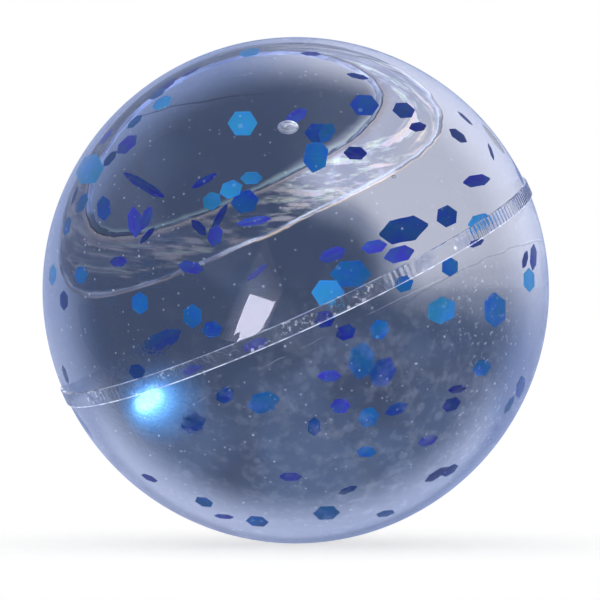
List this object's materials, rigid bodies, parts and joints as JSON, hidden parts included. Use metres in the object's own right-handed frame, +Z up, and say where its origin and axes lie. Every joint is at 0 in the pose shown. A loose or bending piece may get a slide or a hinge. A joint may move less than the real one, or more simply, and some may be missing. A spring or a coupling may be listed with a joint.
{
  "type": "bouncy ball",
  "caption": "Solid clear rubber bouncy ball of two fused halves, with a raised flash band round the joint and blue hexagon foil glitter cast inside.",
  "frame": {"origin": "centre of the ball", "axes": "+Z up, +X to the right and +Y away from the viewer, as the ball lies in the picture; the line out of the joint towards the upper half is +Z turned 7 degrees about X and then -24.4 degrees about Y"},
  "size_m": [0.045, 0.0452, 0.045],
  "materials": {
    "clear_rubber": "water-clear glossy rubber with a faint lavender tint, dust and hairline scratches",
    "band_rubber": "clear rubber with fine ribs across the land",
    "foil_sky": "metallised film, bright face of the foil",
    "foil_azure": "metallised film, strong mid blue foil",
    "foil_cobalt": "metallised film, deep blue foil",
    "foil_violet": "metallised film, violet-blue foil",
    "foil_navy": "metallised film, dark face of the foil"
  },
  "bodies": {
    "root": {"upper_half": "clear_rubber", "lower_half": "clear_rubber", "flash_band": "band_rubber", "upper_glitter_sky": "foil_sky", "upper_glitter_azure": "foil_azure", "upper_glitter_cobalt": "foil_cobalt", "upper_glitter_violet": "foil_violet", "upper_glitter_navy": "foil_navy", "lower_glitter_sky": "foil_sky", "lower_glitter_azure": "foil_azure", "lower_glitter_cobalt": "foil_cobalt", "lower_glitter_violet": "foil_violet", "lower_glitter_navy": "foil_navy"}
  },
  "joints": []
}
